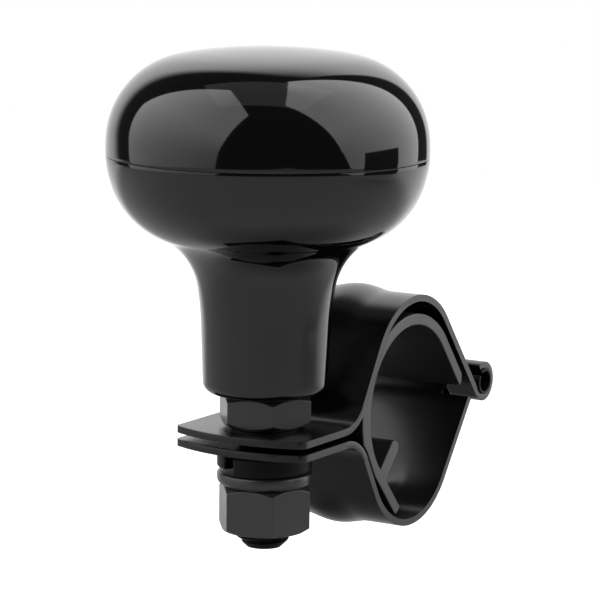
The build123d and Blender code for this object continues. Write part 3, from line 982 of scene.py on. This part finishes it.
# %% Overhead panel
OVERHEAD_WIDTH = 0.7
OVERHEAD_DEPTH = 0.47
OVERHEAD_NEARER = 0.115
OVERHEAD_AZIMUTH = -65.5
OVERHEAD_BRIGHTNESS = 0.35
overhead = bpy.data.lights.new("overhead", "AREA")
overhead.shape = "RECTANGLE"
overhead.size = OVERHEAD_WIDTH
overhead.size_y = OVERHEAD_DEPTH
overhead.energy = OVERHEAD_BRIGHTNESS * pi * OVERHEAD_WIDTH * OVERHEAD_DEPTH
ceiling = bpy.data.objects.new("overhead", overhead)
bpy.context.scene.collection.objects.link(ceiling)
ceiling.visible_camera = False
ceiling.location = TARGET + towards(OVERHEAD_AZIMUTH, 0.0) * OVERHEAD_NEARER + Vector((0, 0, BOX_DISTANCE))
ceiling.rotation_euler = (0, 0, radians(OVERHEAD_AZIMUTH))
print("overhead power", round(overhead.energy, 2), "W")

# %% [markdown]
# A dark patch stands in the right box's reflection, low on the dome. A small black card in front of the box
# gives it.

# %% Dark stand in front of the right box
STAND_AZIMUTH = 27.5
STAND_ELEVATION = -4.5
STAND_DISTANCE = 0.45
STAND_WIDTH = 0.26
STAND_HEIGHT = 0.105
BLACK_CARD = finish_material("Black card", (0.08, 0.08, 0.08), 0.0, gloss=(0.8, 0.9), grain=100.0, bump=0.0)


def dark_stand():
    bpy.ops.mesh.primitive_plane_add(size=1.0)
    card = bpy.context.object
    card.name = "dark stand"
    way = towards(STAND_AZIMUTH, STAND_ELEVATION)
    turn = way.to_track_quat("Z", "Y").to_matrix().to_4x4()
    size = Matrix.Diagonal((STAND_WIDTH, STAND_HEIGHT, 1.0, 1.0))
    card.data.transform(Matrix.Translation(TARGET + way * STAND_DISTANCE) @ turn @ size)
    card.data.materials.append(BLACK_CARD)
    card.visible_camera = False
    print("dark stand", STAND_WIDTH, "by", STAND_HEIGHT, "m")


dark_stand()

# %% [markdown]
# The camera sees pure white behind the part, but a polished surface must not, or the knob would look milky.
# Light Path tells the two apart. For gloss the world is dark, but for a pale backdrop that stands behind the
# part. It is described in slopes, as the soft boxes are, and one of its sides leans.

# %% World
ROOM_LIGHT = 0.06
BACKDROP_AZIMUTH = 127.0
BACKDROP_NEAR_SIDE = (-0.69, -0.6)
BACKDROP_FAR_SIDE = (0.6, 1.02)
BACKDROP_LEAN = 0.46
BACKDROP_HEAD = (0.8, 2.7)
BACKDROP_RISE = (-0.1, 1.2)
BACKDROP_BRIGHTNESS = (1.1, 1.9)


def backdrop(tree, direction):
    """Brightness of the backdrop in a direction, with soft borders."""
    way = towards(BACKDROP_AZIMUTH, 0.0)
    along, right, up = (axis_part(tree, direction, axis) for axis in (way, aside(way), (0, 0, 1)))
    across = combine(tree, "DIVIDE", right, along)
    height = combine(tree, "DIVIDE", up, along)
    leaning = combine(tree, "ADD", across, combine(tree, "MULTIPLY", height, BACKDROP_LEAN))
    borders = (
        ramp(tree, across, *BACKDROP_NEAR_SIDE, 0.0, 1.0),
        ramp(tree, leaning, *BACKDROP_FAR_SIDE, 1.0, 0.0),
        ramp(tree, height, *BACKDROP_HEAD, 1.0, 0.0),
        combine(tree, "GREATER_THAN", along, 0.0),
    )
    pale = ramp(tree, height, *BACKDROP_RISE, *BACKDROP_BRIGHTNESS)
    for border in borders:
        pale = combine(tree, "MULTIPLY", pale, border)
    return pale


def world_of_white():
    """White for the camera, and for gloss a dark room with the backdrop in it."""
    world = bpy.data.worlds.new("White studio")
    bpy.context.scene.world = world
    world.use_nodes = True
    tree = world.node_tree
    tree.nodes.clear()
    path = node(tree, "ShaderNodeLightPath")
    where = node(tree, "ShaderNodeTexCoord")
    pale = backdrop(tree, where.outputs["Generated"])
    room = combine(tree, "ADD", combine(tree, "MULTIPLY", shown_in_gloss(tree, path), pale), ROOM_LIGHT)
    strength = combine(tree, "MAXIMUM", room, path.outputs["Is Camera Ray"])
    sky = node(tree, "ShaderNodeBackground")
    out = node(tree, "ShaderNodeOutputWorld")
    tree.links.new(strength, sky.inputs["Strength"])
    tree.links.new(sky.outputs["Background"], out.inputs["Surface"])
    sky.inputs["Color"].default_value = WHITE
    print("world:", len(tree.nodes), "nodes")


world_of_white()

# %% [markdown]
# The floor is a plain matt sheet a little below the part. It takes the shadow. The camera sees it lifted
# almost to white, and in gloss it glows mostly on the side away from the camera, where the room is bright.
# Right under the part its colour carries a painted shade, a darker grey, which keeps the undersides of the
# bands dark.

# %% Floor
FLOOR_DROP = 60.0
FLOOR_SIZE = 1.8
FLOOR_LIFT = 0.9
# The floor's colour: a painted shade near the part's foot, then its own grey further out.
FLOOR_PAINTED_SHADE_TO_GREY = (0.08, 0.5)
FLOOR_PAINTED_SHADE_SPAN = (0.07, 0.13)
FLOOR_BRIGHT_AZIMUTH = 105.0
FLOOR_BEHIND = (0.12, 0.32)
FLOOR_MIRRORED = (0.04, 0.85)
FLOOR_ROUGHNESS = 0.9


def pale_floor():
    """A sheet with a painted shade, darker grey near the part's foot, and lifted for the camera and for
    gloss.
    """
    bpy.ops.mesh.primitive_plane_add(size=FLOOR_SIZE)
    floor = bpy.context.object
    floor.name = "floor"
    floor.data.transform(Matrix.Translation((0, 0, cad_box[0][2] - FLOOR_DROP * MM)))
    paint = bpy.data.materials.new("Pale floor")
    paint.use_nodes = True
    tree = paint.node_tree
    shader = tree.nodes["Principled BSDF"]
    path = node(tree, "ShaderNodeLightPath")
    where = node(tree, "ShaderNodeTexCoord")
    away = node(tree, "ShaderNodeVectorMath", operation="LENGTH")
    tree.links.new(where.outputs["Object"], away.inputs[0])
    behind = axis_part(tree, where.outputs["Object"], towards(FLOOR_BRIGHT_AZIMUTH, 0.0))
    bright = ramp(tree, behind, *FLOOR_BEHIND, *FLOOR_MIRRORED)
    mirrored = combine(tree, "MULTIPLY", shown_in_gloss(tree, path), bright)
    seen = combine(tree, "MULTIPLY", path.outputs["Is Camera Ray"], FLOOR_LIFT)
    tree.links.new(combine(tree, "MAXIMUM", seen, mirrored), shader.inputs["Emission Strength"])
    # Painted shade: the floor's colour turns a darker grey near the part's foot.
    floor_grey_and_painted_shade = ramp(tree, away.outputs["Value"], *FLOOR_PAINTED_SHADE_SPAN, *FLOOR_PAINTED_SHADE_TO_GREY)
    tree.links.new(floor_grey_and_painted_shade, shader.inputs["Base Color"])
    shader.inputs["Emission Color"].default_value = WHITE
    shader.inputs["Roughness"].default_value = FLOOR_ROUGHNESS
    floor.data.materials.append(paint)
    print("floor at z", round(cad_box[0][2] / MM - FLOOR_DROP, 1), "mm")


pale_floor()

# %% [markdown]
# ## Camera
# The photograph was taken with a long lens, from the front left and a little above the clamp. The angles,
# the distance and the lens's shift were fitted until the part's outline fell on the photograph's.

# %% Set the camera
CAMERA_AZIMUTH = -58.09
CAMERA_ELEVATION = 9.88
CAMERA_ROLL = 0.58
CAMERA_DISTANCE = 0.5057
CAMERA_SHIFT = (0.0568, 0.0537)
LENS_LENGTH = 180.0
SENSOR_WIDTH = 36.0
NEAREST_SEEN = 0.01
AIM = Vector((STUD_X * MM, 0, 0.0158))
lens = bpy.data.cameras.new("camera")
lens.lens = LENS_LENGTH
lens.sensor_width = SENSOR_WIDTH
lens.shift_x, lens.shift_y = CAMERA_SHIFT
lens.clip_start = NEAREST_SEEN
camera = bpy.data.objects.new("camera", lens)
bpy.context.scene.collection.objects.link(camera)
view_way = towards(CAMERA_AZIMUTH, CAMERA_ELEVATION)
camera.location = AIM + view_way * CAMERA_DISTANCE
roll = Matrix.Rotation(radians(CAMERA_ROLL), 3, "Z")
camera.rotation_euler = (view_way.to_track_quat("Z", "Y").to_matrix() @ roll).to_euler()
bpy.context.scene.camera = camera
bpy.context.scene.view_settings.view_transform = "Standard"
print("camera, mm:", [round(value / MM, 1) for value in camera.location])
